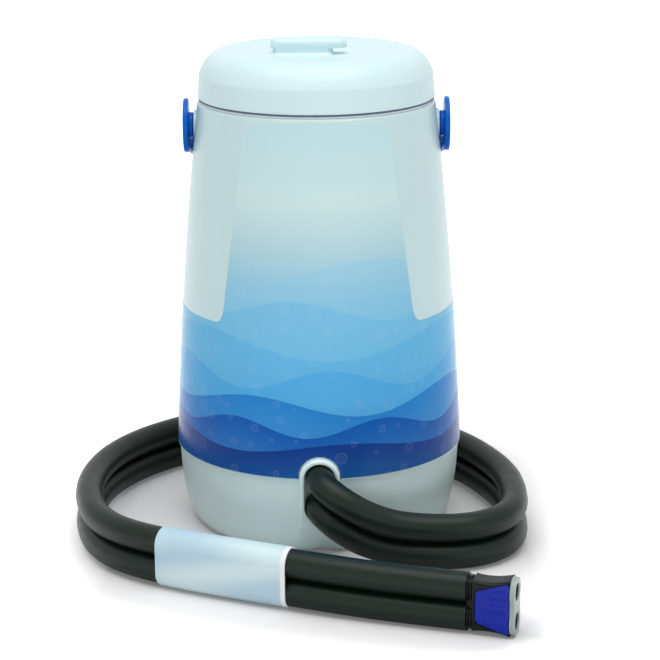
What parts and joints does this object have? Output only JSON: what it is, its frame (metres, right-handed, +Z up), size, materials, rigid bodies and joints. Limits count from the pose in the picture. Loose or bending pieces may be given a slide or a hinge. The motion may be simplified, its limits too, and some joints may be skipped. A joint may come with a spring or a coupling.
{
  "type": "hot cold therapy machine",
  "caption": "Insulated ice and water bucket on a bowl-shaped pump base, with a lift-off lid, a swinging blue bail and two foam-covered hoses ending in a twin quick coupling.",
  "frame": {"origin": "on the bucket's axis, in the plane of the rubber feet, which is the floor", "axes": "+Z up along the bucket's axis; the hose outlet faces -Y; the bail's pivots lie along X"},
  "size_m": [0.315, 0.3745, 0.3401],
  "materials": {
    "white_shell": "satin",
    "tank_plastic": "satin",
    "insulating_foam": "matte",
    "gasket_rubber": "matte",
    "foot_rubber": "matte",
    "printed_film": "gloss",
    "sleeve_film": "satin",
    "blue_handle": "satin",
    "screw_steel": "satin",
    "motor_steel": "satin",
    "pump_plastic": "matte",
    "fitting_plastic": "satin",
    "clear_tube": "satin",
    "socket_black": "satin",
    "wire_red": "satin",
    "hose_foam": "matte",
    "coupling_black": "satin",
    "coupling_grey": "satin",
    "seal_rubber": "satin",
    "valve_plastic": "satin",
    "pad_blue": "satin"
  },
  "bodies": {
    "machine": {"base_plate": "tank_plastic", "base_shell": "white_shell", "bucket_insulation": "insulating_foam", "bucket_shell": "white_shell", "case_screws": "screw_steel", "coupling_body": "coupling_black", "coupling_flange": "coupling_grey", "deck_plate": "tank_plastic", "drain_fitting": "fitting_plastic", "hose_high": "hose_foam", "hose_low": "hose_foam", "hose_necks": "coupling_black", "hose_sleeve": "sleeve_film", "inlet_nut": "socket_black", "label_wrap": "printed_film", "motor_leads": "wire_red", "plate_screws": "screw_steel", "port_seals": "seal_rubber", "power_inlet": "socket_black", "pump_back_plate": "pump_plastic", "pump_case": "pump_plastic", "pump_motor": "motor_steel", "return_fitting": "fitting_plastic", "return_tube": "clear_tube", "rim_gasket": "gasket_rubber", "rubber_feet": "foot_rubber", "suction_fitting": "fitting_plastic", "suction_strainer": "pump_plastic", "supply_fitting": "fitting_plastic", "supply_tube": "clear_tube", "tank_liner": "tank_plastic"},
    "lid": {"lid_cover": "white_shell", "lid_pan": "tank_plastic", "lid_foam": "insulating_foam", "lid_grip": "white_shell", "grip_screws": "screw_steel"},
    "bail": {"bail_handle": "blue_handle"},
    "impeller": {"pump_impeller": "pump_plastic", "motor_shaft": "screw_steel"},
    "pad_front": {"release_pad_front": "pad_blue"},
    "pad_back": {"release_pad_back": "pad_blue"},
    "valve_high": {"valve_poppet_high": "valve_plastic", "valve_spring_high": "screw_steel"},
    "valve_low": {"valve_poppet_low": "valve_plastic", "valve_spring_low": "screw_steel"}
  },
  "joints": [
    {"name": "lid_lift", "type": "slide", "parent": "machine", "child": "lid", "axis": [0, 0, 1], "range_m": [0, 0.06]},
    {"name": "bail_swing", "type": "hinge", "parent": "machine", "child": "bail", "pos_m": [0, 0, 0.28], "axis": [1, 0, 0], "range_deg": [0, 224]},
    {"name": "impeller_spin", "type": "hinge", "parent": "machine", "child": "impeller", "pos_m": [0, 0.018, 0.04], "axis": [0, 0, 1], "continuous": true},
    {"name": "pad_front_press", "type": "slide", "parent": "machine", "child": "pad_front", "axis": [0.2978, 0.9546, 0], "range_m": [0, 0.001], "stiffness_N_per_m": 800, "springref_m": -0.0015},
    {"name": "pad_back_press", "type": "slide", "parent": "machine", "child": "pad_back", "axis": [-0.2978, -0.9546, 0], "range_m": [0, 0.001], "stiffness_N_per_m": 800, "springref_m": -0.0015},
    {"name": "valve_high_open", "type": "slide", "parent": "machine", "child": "valve_high", "axis": [-0.9546, 0.2978, 0], "range_m": [0, 0.0025], "stiffness_N_per_m": 500, "springref_m": -0.003},
    {"name": "valve_low_open", "type": "slide", "parent": "machine", "child": "valve_low", "axis": [-0.9546, 0.2978, 0], "range_m": [0, 0.0025], "stiffness_N_per_m": 500, "springref_m": -0.003}
  ]
}
